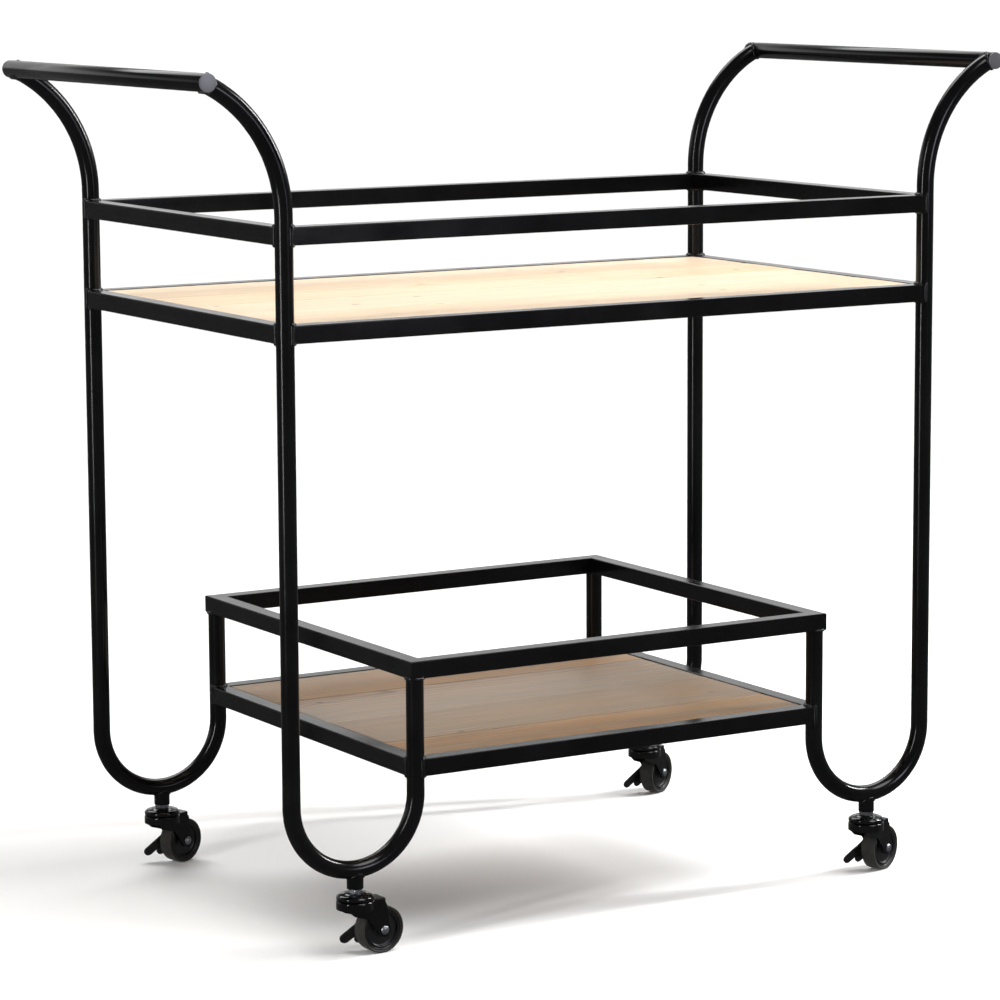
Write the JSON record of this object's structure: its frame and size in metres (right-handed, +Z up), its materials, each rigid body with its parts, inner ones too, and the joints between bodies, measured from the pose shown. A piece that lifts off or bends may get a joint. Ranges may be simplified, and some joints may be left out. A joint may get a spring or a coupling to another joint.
{
  "type": "bar cart",
  "caption": "Rolling bar cart of welded black tube with inset plank shelves, gallery rails, curled legs that end in push bars, and braked swivel casters.",
  "frame": {"origin": "on the floor, under the middle of the whole outline, casters at rest included", "axes": "+Z up, +X along the shelves towards the right push bar, +Y from the front to the back"},
  "size_m": [1.002, 0.5114, 0.9223],
  "materials": {
    "frame_paint": "black paint, semi-gloss, over steel tube and its weld beads",
    "pale_boards": "pale solid mango boards, sanded, clear matt lacquer",
    "brown_boards": "brown and grey-brown solid mango boards, sanded, clear matt lacquer",
    "caster_black": "glossy black electrocoat on pressed steel",
    "zinc_plate": "bright zinc plate",
    "bearing_steel": "polished ball steel",
    "tyre_rubber": "dark grey rubber, matt",
    "wheel_plastic": "black moulded nylon, semi-gloss",
    "lever_steel": "black coated pressed steel, worn grey on the tabs"
  },
  "bodies": {
    "cart_frame": {"leg_tube_front_left": "frame_paint", "leg_tube_front_right": "frame_paint", "leg_tube_back_left": "frame_paint", "leg_tube_back_right": "frame_paint", "handle_bar_left": "frame_paint", "handle_bar_right": "frame_paint", "handle_end_caps": "frame_paint", "upper_gallery_front_rail": "frame_paint", "upper_gallery_back_rail": "frame_paint", "upper_gallery_left_rail": "frame_paint", "upper_gallery_right_rail": "frame_paint", "upper_shelf_front_rail": "frame_paint", "upper_shelf_back_rail": "frame_paint", "upper_shelf_left_rail": "frame_paint", "upper_shelf_right_rail": "frame_paint", "lower_gallery_front_rail": "frame_paint", "lower_gallery_back_rail": "frame_paint", "lower_gallery_left_rail": "frame_paint", "lower_gallery_right_rail": "frame_paint", "lower_shelf_front_rail": "frame_paint", "lower_shelf_back_rail": "frame_paint", "lower_shelf_left_rail": "frame_paint", "lower_shelf_right_rail": "frame_paint", "upper_board_1": "pale_boards", "upper_board_2": "pale_boards", "upper_board_3": "pale_boards", "upper_board_4": "pale_boards", "lower_board_1": "brown_boards", "lower_board_2": "brown_boards", "lower_board_3": "brown_boards", "lower_board_4": "brown_boards", "upper_support_bars": "frame_paint", "lower_support_bars": "frame_paint", "upper_board_screws": "zinc_plate", "lower_board_screws": "zinc_plate", "caster_sockets": "frame_paint", "caster_jam_nuts": "zinc_plate", "caster_stems": "caster_black", "swivel_balls": "bearing_steel"},
    "swivel_front_left": {"fork_front_left": "caster_black", "axle_bolt_front_left": "zinc_plate"},
    "wheel_front_left": {"tyre_front_left": "tyre_rubber", "wheel_core_front_left": "wheel_plastic"},
    "brake_front_left": {"brake_lever_front_left": "lever_steel"},
    "swivel_front_right": {"fork_front_right": "caster_black", "axle_bolt_front_right": "zinc_plate"},
    "wheel_front_right": {"tyre_front_right": "tyre_rubber", "wheel_core_front_right": "wheel_plastic"},
    "brake_front_right": {"brake_lever_front_right": "lever_steel"},
    "swivel_back_left": {"fork_back_left": "caster_black", "axle_bolt_back_left": "zinc_plate"},
    "wheel_back_left": {"tyre_back_left": "tyre_rubber", "wheel_core_back_left": "wheel_plastic"},
    "brake_back_left": {"brake_lever_back_left": "lever_steel"},
    "swivel_back_right": {"fork_back_right": "caster_black", "axle_bolt_back_right": "zinc_plate"},
    "wheel_back_right": {"tyre_back_right": "tyre_rubber", "wheel_core_back_right": "wheel_plastic"},
    "brake_back_right": {"brake_lever_back_right": "lever_steel"}
  },
  "joints": [
    {"name": "swivel_front_left", "type": "hinge", "parent": "cart_frame", "child": "swivel_front_left", "pos_m": [-0.3299, -0.2355, 0.06], "axis": [0, 0, 1], "continuous": true},
    {"name": "wheel_spin_front_left", "type": "hinge", "parent": "swivel_front_left", "child": "wheel_front_left", "pos_m": [-0.30095, -0.23373, 0.0254], "axis": [-0.061, 0.9981, 0], "continuous": true},
    {"name": "brake_front_left", "type": "hinge", "parent": "swivel_front_left", "child": "brake_front_left", "pos_m": [-0.30095, -0.23373, 0.0254], "axis": [-0.061, 0.9981, 0], "range_deg": [0, 25]},
    {"name": "swivel_front_right", "type": "hinge", "parent": "cart_frame", "child": "swivel_front_right", "pos_m": [0.3299, -0.2355, 0.06], "axis": [0, 0, 1], "continuous": true},
    {"name": "wheel_spin_front_right", "type": "hinge", "parent": "swivel_front_right", "child": "wheel_front_right", "pos_m": [0.35697, -0.22511, 0.0254], "axis": [-0.3584, 0.9336, 0], "continuous": true},
    {"name": "brake_front_right", "type": "hinge", "parent": "swivel_front_right", "child": "brake_front_right", "pos_m": [0.35697, -0.22511, 0.0254], "axis": [-0.3584, 0.9336, 0], "range_deg": [0, 25]},
    {"name": "swivel_back_left", "type": "hinge", "parent": "cart_frame", "child": "swivel_back_left", "pos_m": [-0.3299, 0.2225, 0.06], "axis": [0, 0, 1], "continuous": true},
    {"name": "wheel_spin_back_left", "type": "hinge", "parent": "swivel_back_left", "child": "wheel_back_left", "pos_m": [-0.30248, 0.23194, 0.0254], "axis": [-0.3256, 0.9455, 0], "continuous": true},
    {"name": "brake_back_left", "type": "hinge", "parent": "swivel_back_left", "child": "brake_back_left", "pos_m": [-0.30248, 0.23194, 0.0254], "axis": [-0.3256, 0.9455, 0], "range_deg": [0, 25]},
    {"name": "swivel_back_right", "type": "hinge", "parent": "cart_frame", "child": "swivel_back_right", "pos_m": [0.3299, 0.2225, 0.06], "axis": [0, 0, 1], "continuous": true},
    {"name": "wheel_spin_back_right", "type": "hinge", "parent": "swivel_back_right", "child": "wheel_back_right", "pos_m": [0.35574, 0.23567, 0.0254], "axis": [-0.454, 0.891, 0], "continuous": true},
    {"name": "brake_back_right", "type": "hinge", "parent": "swivel_back_right", "child": "brake_back_right", "pos_m": [0.35574, 0.23567, 0.0254], "axis": [-0.454, 0.891, 0], "range_deg": [0, 25]}
  ]
}
